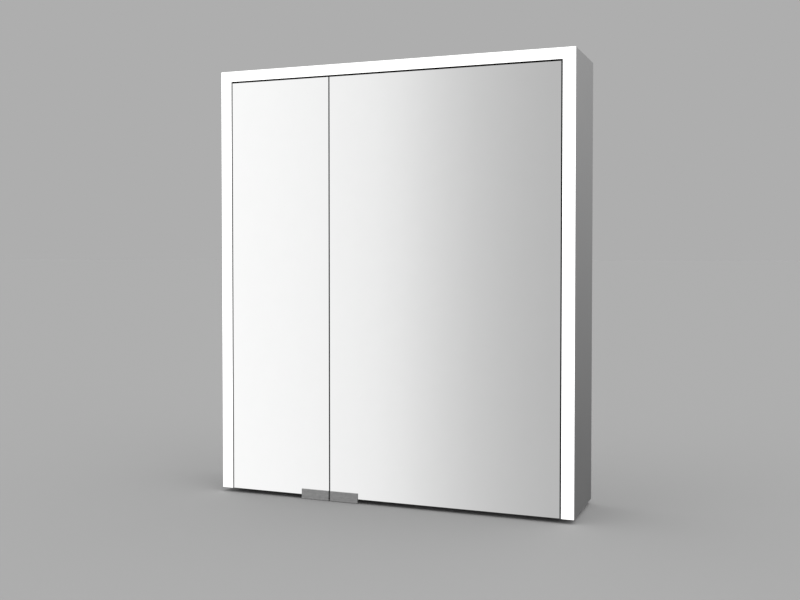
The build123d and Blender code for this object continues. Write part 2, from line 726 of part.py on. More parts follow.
def door(side):
    """Every piece of one door, with its halves of the hinges."""
    name = side_names[side]
    edge = side * door_edge
    free = free_edges[side]
    inward = -side  # from the hinged edge to the free edge
    strip = edge + inward * hinge_strip
    handle_mid = free - inward * (handle_inset + handle_width / 2)

    with BuildPart() as front_mirror:
        block((edge, free), (front_y, board_front), (z_bottom, door_top))
        chamfer(front_mirror.faces().sort_by(Axis.Y)[0].edges(), length=glass_bevel)
    save(front_mirror, f"{name}_front_mirror")

    board_z = (z_bottom, door_top - panel_inset)
    with BuildPart() as door_panel:
        with BuildSketch(Plane.XY.offset(board_z[0])):
            rect((edge + inward * panel_inset, free - inward * panel_inset), (board_front, board_back))
            rect((edge + inward * panel_inset, strip), (board_back, door_back))
        extrude(amount=board_z[1] - board_z[0])
        for hinge_height in hinge_heights.values():
            pocket_x = (from_pin(side, cup_x[0]), from_pin(side, cup_x[1]))
            pocket_z = around(z_bottom + hinge_height, cup_half_height)
            block(pocket_x, (board_front, door_back), pocket_z, mode=Mode.SUBTRACT)
        for offset in (-handle_screw_x, handle_screw_x):
            x = handle_mid + offset
            hole_z = (z_bottom, z_bottom + handle_screw_depth)
            rod(x, handle_screw_y, hole_z, small_screw_r, mode=Mode.SUBTRACT)
    save(door_panel, f"{name}_door_panel")

    with BuildPart() as back_mirror:
        mirror_x = (strip, free - inward * (panel_inset + mirror_inset))
        mirror_z = (z_bottom + mirror_inset, door_top - panel_inset - mirror_inset)
        block(mirror_x, (board_back, door_back), mirror_z)
        chamfer(back_mirror.faces().sort_by(Axis.Y)[-1].edges(), length=glass_bevel)
    save(back_mirror, f"{name}_back_mirror")

    handle_x = around(handle_mid, handle_width / 2)
    with BuildPart() as handle:
        with BuildSketch(Plane.YZ.offset(min(handle_x))):
            front = (front_y - handle_t, front_y)
            rect(front, (z_bottom - handle_below, z_bottom + handle_above))
            leg_z = (z_bottom - handle_t, z_bottom)
            rect((front_y - handle_t, front_y + handle_leg), leg_z)
            lip_z = (z_bottom - handle_below, z_bottom - handle_below + handle_t)
            rect((front_y - handle_t, front_y + handle_lip), lip_z)
        extrude(amount=handle_width)
        top_edge = handle.edges().filter_by(Axis.X).group_by(Axis.Z)[-1].sort_by(Axis.Y)[0]
        low_edge = handle.edges().filter_by(Axis.X).group_by(Axis.Z)[0].sort_by(Axis.Y)[0]
        fillet((top_edge, low_edge), radius=handle_edge)
        for offset in (-handle_screw_x, handle_screw_x):
            x = handle_mid + offset
            rod(x, handle_screw_y, leg_z, small_screw_r, mode=Mode.SUBTRACT)
    save(handle, f"{name}_handle")

    with BuildPart() as handle_screws:
        for offset in (-handle_screw_x, handle_screw_x):
            x = handle_mid + offset
            leg_under = z_bottom - handle_t
            rod(x, handle_screw_y, (leg_under, z_bottom + handle_screw_depth), small_screw_r)
            rod(x, handle_screw_y, (leg_under - screw_head_t, leg_under), small_head_r)
    save(handle_screws, f"{name}_handle_screws")

    for height_name, hinge_height in hinge_heights.items():
        hinge_z = z_bottom + hinge_height
        with BuildPart() as cup:
            outer_x = (from_pin(side, cup_x[0]), from_pin(side, cup_x[1]))
            block(outer_x, (board_front, door_back), around(hinge_z, cup_half_height))
            flange_x = (from_pin(side, cup_x[0]), from_pin(side, flange_x_end))
            flange_y = (door_back, door_back + flange_t)
            block(flange_x, flange_y, around(hinge_z, flange_half_height))
            pocket_x = (from_pin(side, cup_x[0] + cup_wall), from_pin(side, cup_x[1] - cup_wall))
            pocket_y = (board_front + cup_floor, door_back + flange_t)
            pocket_z = around(hinge_z, cup_half_height - cup_wall)
            block(pocket_x, pocket_y, pocket_z, mode=Mode.SUBTRACT)
            rod(from_pin(side, 0), pin_y, around(hinge_z, cup_half_height), pin_r, mode=Mode.SUBTRACT)
        save(cup, f"{name}_hinge_cup_{height_name}")

    with BuildPart() as pins:
        for hinge_height in hinge_heights.values():
            pin_z = around(z_bottom + hinge_height, cup_half_height)
            rod(from_pin(side, 0), pin_y, pin_z, pin_r)
    save(pins, f"{name}_hinge_pins")


for side in side_names:
    door(side)
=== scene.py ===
import json
import math

import bmesh
import bpy
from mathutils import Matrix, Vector


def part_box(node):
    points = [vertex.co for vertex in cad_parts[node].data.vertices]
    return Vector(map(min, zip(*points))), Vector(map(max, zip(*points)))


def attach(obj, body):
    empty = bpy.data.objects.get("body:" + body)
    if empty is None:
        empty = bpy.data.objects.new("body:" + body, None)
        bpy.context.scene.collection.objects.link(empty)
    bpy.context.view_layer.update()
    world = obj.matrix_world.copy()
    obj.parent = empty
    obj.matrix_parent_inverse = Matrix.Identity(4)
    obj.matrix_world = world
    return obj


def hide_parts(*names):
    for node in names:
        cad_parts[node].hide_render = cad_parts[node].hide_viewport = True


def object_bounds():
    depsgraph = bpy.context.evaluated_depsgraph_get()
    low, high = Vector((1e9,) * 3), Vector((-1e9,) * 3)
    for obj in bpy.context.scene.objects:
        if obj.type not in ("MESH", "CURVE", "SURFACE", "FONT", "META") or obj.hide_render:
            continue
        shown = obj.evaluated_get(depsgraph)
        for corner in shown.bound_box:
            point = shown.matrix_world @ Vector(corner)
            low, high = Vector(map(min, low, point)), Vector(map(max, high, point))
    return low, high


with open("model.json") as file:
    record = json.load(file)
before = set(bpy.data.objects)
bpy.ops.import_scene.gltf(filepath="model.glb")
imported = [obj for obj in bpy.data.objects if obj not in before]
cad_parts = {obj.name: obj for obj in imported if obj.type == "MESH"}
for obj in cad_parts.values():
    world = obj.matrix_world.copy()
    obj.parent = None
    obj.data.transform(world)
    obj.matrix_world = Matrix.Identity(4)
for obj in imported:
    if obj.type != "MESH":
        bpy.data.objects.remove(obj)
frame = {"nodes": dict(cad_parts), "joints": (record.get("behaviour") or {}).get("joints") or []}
cad_low, cad_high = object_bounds()

# ---------------------------------------------------------------------------
# Places, all taken from the frame (metres)
# ---------------------------------------------------------------------------

NODES = frame["nodes"]
FRONT_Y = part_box("light_diffuser_top")[0][1]
BOTTOM_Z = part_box("side_end_caps")[0][2]
MM = 0.001
WELD = 0.00001
# How square a face's normal has to be to an axis to count as facing along it
SQUARE_ON = 0.9


# ---------------------------------------------------------------------------
# Node helpers
# ---------------------------------------------------------------------------


def srgb(level):
    """The linear value of a display level from 0 to 255."""
    v = level / 255
    return v / 12.92 if v <= 0.04045 else ((v + 0.055) / 1.055) ** 2.4


def grey(level):
    """A neutral linear colour for a display level."""
    return (srgb(level), srgb(level), srgb(level), 1)


class Nodes:
    """Short ways to add and join the nodes of one tree."""

    def __init__(self, tree):
        self.tree = tree
        tree.nodes.clear()

    def add(self, kind, **settings):
        node = self.tree.nodes.new(kind)
        for key, value in settings.items():
            setattr(node, key, value)
        return node

    def put(self, socket, value):
        """Set a socket, or link it when the value is another socket."""
        if isinstance(value, bpy.types.NodeSocket):
            self.tree.links.new(value, socket)
        else:
            socket.default_value = value

    def maths(self, operation, *values, clamp=False):
        node = self.add("ShaderNodeMath", operation=operation, use_clamp=clamp)
        for socket, value in zip(node.inputs, values):
            self.put(socket, value)
        return node.outputs[0]

    def remap(self, value, low, high, to_low, to_high, smooth=False):
        node = self.add("ShaderNodeMapRange")
        node.interpolation_type = "SMOOTHSTEP" if smooth else "LINEAR"
        for socket, given in zip(node.inputs, (value, low, high, to_low, to_high)):
            self.put(socket, given)
        return node.outputs[0]

    def mix(self, share, a, b):
        """Mix two colours."""
        node = self.add("ShaderNodeMix", data_type="RGBA")
        self.put(node.inputs[0], share)
        self.put(node.inputs[6], a)
        self.put(node.inputs[7], b)
        return node.outputs[2]

    def coords(self, stretch=(1, 1, 1)):
        """Object coordinates in metres, scaled along each axis."""
        source = self.add("ShaderNodeTexCoord").outputs["Object"]
        mapping = self.add("ShaderNodeMapping")
        self.put(mapping.inputs["Vector"], source)
        mapping.inputs["Scale"].default_value = stretch
        return mapping.outputs[0]

    def noise(self, scale, detail=3.0, stretch=(1, 1, 1), roughness=0.55):
        """Noise from 0 to 1; the scale is in features per metre."""
        node = self.add("ShaderNodeTexNoise")
        self.put(node.inputs["Vector"], self.coords(stretch))
        node.inputs["Scale"].default_value = scale
        node.inputs["Detail"].default_value = detail
        node.inputs["Roughness"].default_value = roughness
        return node.outputs["Fac"]

    def facing(self, axis, sign):
        """1 on faces whose own normal points along an axis of the piece, 0 elsewhere."""
        normal = self.add("ShaderNodeTexCoord").outputs["Normal"]
        parts = self.add("ShaderNodeSeparateXYZ")
        self.put(parts.inputs[0], normal)
        along = self.maths("MULTIPLY", parts.outputs["XYZ".index(axis)], sign)
        return self.maths("GREATER_THAN", along, SQUARE_ON)

    def bump(self, height, distance, strength=1.0, normal=None):
        node = self.add("ShaderNodeBump")
        node.inputs["Strength"].default_value = strength
        node.inputs["Distance"].default_value = distance
        self.put(node.inputs["Height"], height)
        if normal is not None:
            self.put(node.inputs["Normal"], normal)
        return node.outputs[0]


def new_material(name):
    """An empty material with a Principled shader: returns the material, its nodes and shader."""
    made = bpy.data.materials.new(name)
    made.use_nodes = True
    nodes = Nodes(made.node_tree)
    shader = nodes.add("ShaderNodeBsdfPrincipled")
    output = nodes.add("ShaderNodeOutputMaterial")
    nodes.put(output.inputs["Surface"], shader.outputs[0])
    return made, nodes, shader


def worn(nodes, colour, amount, scale=6.0):
    """A colour that drifts a little lighter and darker over the surface."""
    lighter = tuple(min(1.0, c * (1 + amount)) for c in colour[:3]) + (1,)
    darker = tuple(c * (1 - amount) for c in colour[:3]) + (1,)
    return nodes.mix(nodes.noise(scale, 4), darker, lighter)


# ---------------------------------------------------------------------------
# Materials
# ---------------------------------------------------------------------------


def anodised(name, along, level=0.50):
    """Satin anodised aluminium, with drawn lines along the profile."""
    made, nodes, shader = new_material(name)
    fine = [1100, 1100, 1100]
    fine["XYZ".index(along)] = 1.5
    lines = nodes.noise(1.0, 3, tuple(fine), 0.7)
    broad = nodes.noise(5.0, 4)
    dark = (level * 0.94,) * 3 + (1,)
    light = (level * 1.05, level * 1.052, level * 1.06, 1)
    share = nodes.remap(lines, 0.3, 0.7, 0, 1)
    nodes.put(shader.inputs["Base Color"], nodes.mix(share, dark, light))
    shader.inputs["Metallic"].default_value = 1.0
    uneven = nodes.maths("ADD", nodes.maths("MULTIPLY", lines, 0.6), broad)
    nodes.put(shader.inputs["Roughness"], nodes.remap(uneven, 0.4, 1.2, 0.33, 0.46))
    nodes.put(shader.inputs["Normal"], nodes.bump(lines, 0.00002, 0.5))
    return made


def silvered(name):
    """Silvered glass: a mirror on its faces, dark ground glass on its edges."""
    made, nodes, shader = new_material(name)
    face = nodes.maths("ADD", nodes.facing("Y", -1), nodes.facing("Y", 1), clamp=True)
    haze = nodes.noise(40, 5)
    silver = nodes.mix(haze, (0.898, 0.90, 0.899, 1), (0.918, 0.92, 0.919, 1))
    edge = nodes.mix(nodes.noise(300, 3), (0.035, 0.042, 0.04, 1), (0.07, 0.08, 0.077, 1))
    nodes.put(shader.inputs["Base Color"], nodes.mix(face, edge, silver))
    nodes.put(shader.inputs["Metallic"], face)
    smooth = nodes.remap(haze, 0.3, 0.7, 0.004, 0.016)
    nodes.put(shader.inputs["Roughness"], nodes.remap(face, 0, 1, 0.3, smooth))
    return made


# Light from the cover's outer and inner edges, as a share of its front's
OUTER_GLOW = 0.75
INNER_GLOW = 0.16


def opal(name):
    """Lit opal acrylic: its front gives light, its edges glow, and its other faces are dark:
    painted shade that makes the gaps round the doors read dark.
    """
    made, nodes, shader = new_material(name)
    front = nodes.facing("Y", -1)
    normal, place = nodes.add("ShaderNodeSeparateXYZ"), nodes.add("ShaderNodeSeparateXYZ")
    nodes.put(normal.inputs[0], nodes.add("ShaderNodeTexCoord").outputs["Normal"])
    nodes.put(place.inputs[0], nodes.coords())
    outward = nodes.maths("MULTIPLY", normal.outputs["X"], nodes.maths("SIGN", place.outputs["X"]))
    aside = nodes.maths("GREATER_THAN", outward, SQUARE_ON)
    outer = nodes.maths("ADD", aside, nodes.facing("Z", 1))
    inner = nodes.maths("LESS_THAN", outward, -SQUARE_ON)
    pale_faces = nodes.maths("ADD", front, outer, clamp=True)
    grain = nodes.noise(1200, 2)
    # The dark colour on every face but the front and the outer edges is painted shade for the gaps
    # round the doors, not a coating
    painted_gap_shade, acrylic = (0.10, 0.10, 0.10, 1), (0.86, 0.86, 0.86, 1)
    nodes.put(shader.inputs["Base Color"], nodes.mix(pale_faces, painted_gap_shade, acrylic))
    nodes.put(shader.inputs["Roughness"], nodes.remap(grain, 0.3, 0.7, 0.30, 0.42))
    shader.inputs["Emission Color"].default_value = (1.0, 1.0, 0.995, 1)
    glow = nodes.remap(nodes.noise(9, 3), 0.3, 0.7, 0.92, 1.0)
    lit = nodes.maths("ADD", front, nodes.maths("MULTIPLY", outer, OUTER_GLOW))
    lit = nodes.maths("ADD", lit, nodes.maths("MULTIPLY", inner, INNER_GLOW))
    nodes.put(shader.inputs["Emission Strength"], nodes.maths("MULTIPLY", lit, glow))
    nodes.put(shader.inputs["Normal"], nodes.bump(grain, 0.00001, 0.4))
    return made


def brushed(name, along="X", level=0.3, rough=(0.28, 0.46)):
    """Brushed metal: fine streaks along one axis, over short soft clouds."""
    made, nodes, shader = new_material(name)
    fine, coarse = [4200, 4200, 4200], [420, 420, 420]
    fine["XYZ".index(along)] = 6
    coarse["XYZ".index(along)] = 150
    streaks = nodes.noise(1.0, 3, tuple(fine), 0.7)
    bands = nodes.noise(1.0, 3, tuple(coarse), 0.6)
    dark = (level * 0.72, level * 0.72, level * 0.73, 1)
    light = (level * 1.28, level * 1.28, level * 1.27, 1)
    mottle = nodes.maths("ADD", streaks, nodes.maths("MULTIPLY", bands, 0.7))
    share = nodes.remap(mottle, 0.55, 1.15, 0, 1)
    nodes.put(shader.inputs["Base Color"], nodes.mix(share, dark, light))
    shader.inputs["Metallic"].default_value = 1.0
    nodes.put(shader.inputs["Roughness"], nodes.remap(streaks, 0.3, 0.7, *rough))
    nodes.put(shader.inputs["Normal"], nodes.bump(streaks, 0.00003, 0.6))
    return made


def galvanised(name, level=0.5):
    """Zinc coated sheet, with soft crystal patches."""
    made, nodes, shader = new_material(name)
    cells = nodes.add("ShaderNodeTexVoronoi")
    nodes.put(cells.inputs["Vector"], nodes.coords())
    cells.inputs["Scale"].default_value = 170
    patch = nodes.add("ShaderNodeSeparateColor")
    nodes.put(patch.inputs[0], cells.outputs["Color"])
    cloud = nodes.maths("ADD", nodes.maths("MULTIPLY", patch.outputs[0], 0.6), nodes.noise(35, 4))
    dark = (level * 0.86, level * 0.87, level * 0.88, 1)
    light = (level * 1.1, level * 1.11, level * 1.13, 1)
    share = nodes.remap(cloud, 0.4, 1.1, 0, 1)
    nodes.put(shader.inputs["Base Color"], nodes.mix(share, dark, light))
    shader.inputs["Metallic"].default_value = 1.0
    nodes.put(shader.inputs["Roughness"], nodes.remap(patch.outputs[1], 0, 1, 0.34, 0.46))
    nodes.put(shader.inputs["Normal"], nodes.bump(nodes.noise(700, 3), 0.00003, 0.5))
    return made


def plated(name, level=0.62, rough=(0.16, 0.3)):
    """Nickel plated parts with a faint cast unevenness."""
    made, nodes, shader = new_material(name)
    cast = nodes.noise(260, 4)
    nickel = (level, level * 0.99, level * 0.97)
    nodes.put(shader.inputs["Base Color"], worn(nodes, nickel, 0.08, 40))
    shader.inputs["Metallic"].default_value = 1.0
    nodes.put(shader.inputs["Roughness"], nodes.remap(cast, 0.3, 0.7, *rough))
    nodes.put(shader.inputs["Normal"], nodes.bump(cast, 0.00004, 0.4))
    return made


def coated(name, colour, rough=(0.32, 0.45), grain=900, height=0.00003, coat=0.0):
    """Lacquer or moulded plastic with a fine skin."""
    made, nodes, shader = new_material(name)
    skin = nodes.noise(grain, 2)
    nodes.put(shader.inputs["Base Color"], worn(nodes, colour, 0.035, 5))
    nodes.put(shader.inputs["Roughness"], nodes.remap(skin, 0.3, 0.7, *rough))
    nodes.put(shader.inputs["Normal"], nodes.bump(skin, height, 0.5))
    shader.inputs["Coat Weight"].default_value = coat
    return made


def clear_glass(name):
    """Clear shelf glass with a green tint that shows at its edges."""
    made, nodes, shader = new_material(name)
    flat = nodes.maths("ADD", nodes.facing("Z", -1), nodes.facing("Z", 1), clamp=True)
    edge, face = (0.42, 0.68, 0.58, 1), (0.93, 0.98, 0.96, 1)
    nodes.put(shader.inputs["Base Color"], nodes.mix(flat, edge, face))
    smears = nodes.remap(nodes.noise(30, 4), 0, 1, 0, 0.02)
    nodes.put(shader.inputs["Roughness"], nodes.remap(flat, 0, 1, 0.12, smears))
    shader.inputs["IOR"].default_value = 1.52
    shader.inputs["Transmission Weight"].default_value = 1.0
    return made


def edged_board(name):
    """Door board: aluminium coloured facing at the back, dark edging round its sides. The edging is
    partly painted shade: it is made this dark so that the gaps round the doors read as shade.
    """
    made, nodes, shader = new_material(name)
    back = nodes.facing("Y", 1)
    grain = nodes.noise(1.0, 3, (900, 900, 8), 0.7)
    facing = nodes.mix(grain, (0.44, 0.44, 0.45, 1), (0.54, 0.54, 0.55, 1))
    # The near-black edging is dark edging and partly painted shade for the door gaps
    nodes.put(shader.inputs["Base Color"], nodes.mix(back, (0.05, 0.05, 0.052, 1), facing))
    nodes.put(shader.inputs["Metallic"], nodes.maths("MULTIPLY", back, 0.9))
    nodes.put(shader.inputs["Roughness"], nodes.remap(grain, 0.3, 0.7, 0.36, 0.5))
    nodes.put(shader.inputs["Normal"], nodes.bump(grain, 0.00002, 0.4))
    return made


LOOKS = {
    "anodised_upright": anodised("anodised_upright", "Z"),
    "anodised_across": anodised("anodised_across", "X"),
    "mirror": silvered("silvered_glass"),
    "opal": opal("opal_cover"),
    "grip": brushed("brushed_grip"),
    "sheet_steel": galvanised("zinc_sheet"),
    "plated": plated("nickel_plate"),
    "lacquer": coated("white_lacquer", (0.80, 0.80, 0.795), (0.28, 0.4)),
    "white_plastic": coated("white_plastic", (0.82, 0.82, 0.81), (0.36, 0.5), 1600),
    "switch": coated("white_switch", (0.86, 0.86, 0.85), (0.14, 0.22), 700, 0.00001, 0.3),
    "grey_plastic": coated("grey_plastic", (0.16, 0.16, 0.165), (0.45, 0.6), 1600),
    "rubber": coated("black_rubber", (0.02, 0.02, 0.02), (0.6, 0.8), 1400),
    "silicone": coated("soft_silicone", (0.7, 0.7, 0.69), (0.4, 0.55), 800),
    "circuit": coated("circuit_board", (0.78, 0.78, 0.74), (0.3, 0.45), 1200),
    "glass": clear_glass("shelf_glass"),
    "board": edged_board("door_board"),
    "brown_core": coated("brown_core", (0.16, 0.06, 0.025), (0.35, 0.5), 900),
    "blue_core": coated("blue_core", (0.02, 0.09, 0.36), (0.35, 0.5), 900),
    "green_core": coated("green_core", (0.10, 0.33, 0.05), (0.35, 0.5), 900),
}
BY_NODE = {
    "left_side_panel": "anodised_upright",
    "right_side_panel": "anodised_upright",
    "top_panel": "anodised_across",
    "side_end_caps": "anodised_across",
    "corner_cleats": "sheet_steel",
    "bottom_panel": "lacquer",
    "back_panel": "lacquer",
    "service_cover": "lacquer",
    "door_buffers": "silicone",
    "led_driver": "white_plastic",
    "led_lead": "rubber",
    "mains_lead": "rubber",
    "terminal_box": "grey_plastic",
    "terminal_block": "white_plastic",
    "cable_grommet": "rubber",
    "wall_rail": "sheet_steel",
    "hanger_left": "sheet_steel",
    "hanger_right": "sheet_steel",
    "socket_box": "white_plastic",
    "socket_insert": "white_plastic",
    "switch_rocker": "switch",
}
BY_WORD = {
    "diffuser": "opal",
    "led_strip": "circuit",
    "shelf_supports": "plated",
    "glass_shelf": "glass",
    "mirror": "mirror",
    "door_panel": "board",
    "handle_screws": "plated",
    "handle": "grip",
    "hinge": "plated",
    "screws": "plated",
}


def look_for(node):
    """The material of a node, by its full name or by a word in it."""
    if node in BY_NODE:
        return LOOKS[BY_NODE[node]]
    return LOOKS[next(look for word, look in BY_WORD.items() if word in node)]


for node, piece in NODES.items():
    for slot in piece.material_slots:
        slot.material = look_for(node)

# ---------------------------------------------------------------------------
# Softened edges of the CAD pieces
# ---------------------------------------------------------------------------


def soften(node, width):
    """Round a CAD node's sharp edges by some millimetres, so that they catch the light."""
    piece = NODES[node]
    weld = piece.modifiers.new("weld", "WELD")
    weld.merge_threshold = WELD
    bevel = piece.modifiers.new("bevel", "BEVEL")
    bevel.width = width * MM
    bevel.segments = 2
    bevel.limit_method = "ANGLE"
    bevel.angle_limit = math.radians(40)
    bevel.use_clamp_overlap = True
    bevel.harden_normals = True


SOFT_EDGES = {
    "bottom_panel": 0.8,
    "service_cover": 0.3,
    "led_driver": 0.6,
    "terminal_box": 0.4,
    "terminal_block": 0.4,
    "cable_grommet": 0.5,
    "hanger_left": 0.4,
    "hanger_right": 0.4,
    "shelf_supports": 0.5,
    "socket_box": 0.8,
    "socket_insert": 0.3,
    "side_end_caps": 0.3,
}
for node, width in SOFT_EDGES.items():
    soften(node, width)
for node in NODES:
    if "glass_shelf" in node:
        soften(node, 0.3)
    elif "hinge_arm_" in node and "screws" not in node:
        soften(node, 0.35)
    elif "hinge_plate_" in node and "screws" not in node:
        soften(node, 0.4)
    elif "hinge_cup" in node:
        soften(node, 0.3)

# ---------------------------------------------------------------------------
# Shapes for the added pieces
# ---------------------------------------------------------------------------


def islands(node):
    """The points of each separate solid of a CAD node, in a steady order."""
    shape = bmesh.new()
    shape.from_mesh(NODES[node].data)
    bmesh.ops.remove_doubles(shape, verts=shape.verts, dist=WELD)
    left = set(shape.verts)
    groups = []
    for start in shape.verts:
        if start not in left:
            continue
        left.discard(start)
        stack, points = [start], []
        while stack:
            vert = stack.pop()
            points.append(vert.co.copy())
            for edge in vert.link_edges:
                other = edge.other_vert(vert)
                if other in left:
                    left.discard(other)
                    stack.append(other)
        groups.append(points)
    shape.free()
    return sorted(groups, key=lambda points: tuple(round(v, 4) for v in middle(points)))


def middle(points):
    """The middle of the box round some points."""
    return Vector([(min(p[k] for p in points) + max(p[k] for p in points)) / 2 for k in range(3)])


def basis(axis):
    """Two directions square to an axis."""
    across = axis.orthogonal().normalized()
    return across, axis.cross(across)


def revolve(shape, profile, origin, axis, turns=32, start=0.0, slots=2, arm=0.0, ring=False):
    """Turn (radius, height, dip) points round an axis. The dip lowers the points in a recess,
    which is a cross of two slots or a single slot, each twice the arm wide."""
    across, square = basis(axis)
    rings = []
    for radius, height, dip in profile:
        if radius == 0:
            rings.append([shape.verts.new(origin + axis * (height - dip))])
            continue
        points = []
        for k in range(turns):
            angle = 2 * math.pi * k / turns
            x, y = radius * math.cos(angle), radius * math.sin(angle)
            inside = min(abs(x), abs(y)) < arm if slots == 2 else abs(y) < arm
            turned = angle + start
            place = origin + across * (radius * math.cos(turned))
            place += square * (radius * math.sin(turned))
            points.append(shape.verts.new(place + axis * (height - (dip if inside else 0))))
        rings.append(points)
    if ring:
        rings.append(rings[0])
    for low, high in zip(rings, rings[1:]):
        for k in range(turns):
            corners = [low[n % len(low)] for n in (k, k + 1)]
            corners += [high[n % len(high)] for n in (k + 1, k)]
            # A ring of one point gives triangles
            shape.faces.new(tuple(dict.fromkeys(corners)))


def rounded_block(shape, low, high, rounding):
    """A block between two corners, with rounded edges."""
    low, high = Vector(low), Vector(high)
    made = bmesh.ops.create_cube(shape, size=1.0)["verts"]
    for vert in made:
        vert.co = Vector([low[k] + (vert.co[k] + 0.5) * (high[k] - low[k]) for k in range(3)])
    edges = list({edge for vert in made for edge in vert.link_edges})
    bmesh.ops.bevel(shape, geom=edges, offset=rounding, segments=2, affect="EDGES", profile=0.5)


def smooth_path(points, steps=8):
    """A smooth line through some points, as a list of places."""
    ends = [points[0] * 2 - points[1], *points, points[-1] * 2 - points[-2]]
    path = []
    for a, b, c, d in zip(ends, ends[1:], ends[2:], ends[3:]):
        for k in range(steps):
            t = k / steps
            path.append(0.5 * (2 * b + (c - a) * t + (2 * a - 5 * b + 4 * c - d) * t * t
                               + (3 * b - a - 3 * c + d) * t ** 3))
    return path + [points[-1]]


def sweep(shape, path, outline, across):
    """Draw an outline of (across, up) points along a path; across is its first direction."""
    rings = []
    for k, place in enumerate(path):
        along = (path[min(k + 1, len(path) - 1)] - path[max(k - 1, 0)]).normalized()
        side = (across - along * across.dot(along)).normalized()
        up = along.cross(side)
        rings.append([shape.verts.new(place + side * a + up * b) for a, b in outline])
    count = len(outline)
    for low, high in zip(rings, rings[1:]):
        for k in range(count):
            n = (k + 1) % count
            shape.faces.new((low[k], low[n], high[n], high[k]))
    shape.faces.new(rings[0][::-1])
    shape.faces.new(rings[-1])


def circle(radius, count=16):
    """The outline of a round bar."""
    turns = [2 * math.pi * k / count for k in range(count)]
    return [(radius * math.cos(a), radius * math.sin(a)) for a in turns]


def finished(shape, name, body, look, stands_for=()):
    """Turn a built shape into a piece that rides on a body."""
    bmesh.ops.recalc_face_normals(shape, faces=shape.faces)
    mesh = bpy.data.meshes.new(name)
    shape.to_mesh(mesh)
    shape.free()
    mesh.shade_smooth()
    mesh.set_sharp_from_angle(angle=math.radians(35))
    mesh.materials.append(LOOKS[look])
    piece = bpy.data.objects.new(name, mesh)
    bpy.context.scene.collection.objects.link(piece)
    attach(piece, body)
    if stands_for:
        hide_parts(*stands_for)


# ---------------------------------------------------------------------------
# Screws
# ---------------------------------------------------------------------------

THREAD_PITCH = 1.25 * MM
# How far each recess is turned from the one before it, in radians
SCREW_TURN = 0.7
# A plain screw's points beyond this share of its largest radius are on its head's rim
RIM_SHARE = 0.9
# and the points nearer than this share are on its shank
SHANK_SHARE = 0.75
# Radius, height and recess depth of a pan head, as shares of the head's radius and height
PAN_HEAD = (
    (1.0, 0.0, 0), (1.0, 0.38, 0), (0.95, 0.68, 0), (0.84, 0.88, 0), (0.68, 1.0, 0), (0.56, 1.0, 0),
    (0.46, 1.0, 0.5), (0.34, 1.0, 0.58), (0.22, 1.0, 0.66), (0.11, 1.0, 0.74), (0, 1.0, 0.8),
)


def pan_screw(shape, seat, outward, head, shank, start, slots=2):
    """A pan head screw: head and shank are (radius, length) pairs from the seat, and start is
    how far its recess is turned, in radians."""
    head_r, head_t = head
    shank_r, length = shank
    profile = [(0, -length, 0), (0.45 * shank_r, -length + 0.3 * shank_r, 0)]
    for turn in range(int((length - 2 * shank_r) / THREAD_PITCH), 0, -1):
        profile.append((0.8 * shank_r, -(turn + 0.5) * THREAD_PITCH, 0))
        profile.append((shank_r, -turn * THREAD_PITCH, 0))
    profile.append((0.8 * shank_r, -0.4 * THREAD_PITCH, 0))
    profile.append((0.8 * shank_r, 0, 0))
    profile += [(head_r * r, head_t * h, head_t * dip) for r, h, dip in PAN_HEAD]
    revolve(shape, profile, seat, outward, 32, start, slots, 0.14 * head_r)


def screws(node, along, body):
    """Replace a CAD node's plain screws by screws with a thread and a driver recess."""
    axis = "XYZ".index(along)
    shape = bmesh.new()
    for number, points in enumerate(islands(node)):
        centre = middle(points)
        reach = [(p - centre) for p in points]
        for step in reach:
            step[axis] = 0
        far = max(step.length for step in reach)
        rim = [p[axis] for p, step in zip(points, reach) if step.length > RIM_SHARE * far]
        stem = max(step.length for step in reach if step.length < SHANK_SHARE * far)
        head_low, head_high = min(rim), max(rim)
        low, high = min(p[axis] for p in points), max(p[axis] for p in points)
        up = head_high > (low + high) / 2
        outward = Vector([0, 0, 0])
        outward[axis] = 1 if up else -1
        seat = centre.copy()
        seat[axis] = head_low if up else head_high
        length = seat[axis] - low if up else high - seat[axis]
        head, shank = (far, head_high - head_low), (stem, length)
        pan_screw(shape, seat, outward, head, shank, SCREW_TURN * number)
    finished(shape, f"{node}_cut", body, "plated", (node,))


screws("hinge_plate_screws", "X", "cabinet")
screws("hinge_arm_screws", "X", "cabinet")
screws("back_panel_screws", "Y", "cabinet")
screws("bottom_panel_screws", "X", "cabinet")
screws("left_handle_screws", "Z", "left_door")
screws("right_handle_screws", "Z", "right_door")


# How far in from the flange's ends its screws are, and the (radius, length) of head and shank
FLANGE_INSET = 5 * MM
FLANGE_HEAD = (3.2 * MM, 1.1 * MM)
FLANGE_SHANK = (1.6 * MM, 9 * MM)


def flange_screws(side):
    """The screws that hold each hinge cup's flange to its door."""
    shape = bmesh.new()
    for number, height in enumerate(("lower", "upper")):
        low, high = (Vector(corner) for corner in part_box(f"{side}_hinge_cup_{height}"))
        x = (low.x + high.x) / 2
        for z in (low.z + FLANGE_INSET, high.z - FLANGE_INSET):
            seat = Vector((x, high.y, z))
            turn = 1.1 * number + z
            pan_screw(shape, seat, Vector((0, 1, 0)), FLANGE_HEAD, FLANGE_SHANK, turn)
    finished(shape, f"{side}_hinge_flange_screws", f"{side}_door", "plated")


for side in ("left", "right"):
    flange_screws(side)

# ---------------------------------------------------------------------------
# Stop pads, socket, switch and wiring
# ---------------------------------------------------------------------------

# Radius and height of a domed pad, as shares of its own
PAD = ((1.0, 0.0), (1.0, 0.3), (0.93, 0.62), (0.78, 0.86), (0.5, 0.98), (0, 1.0))


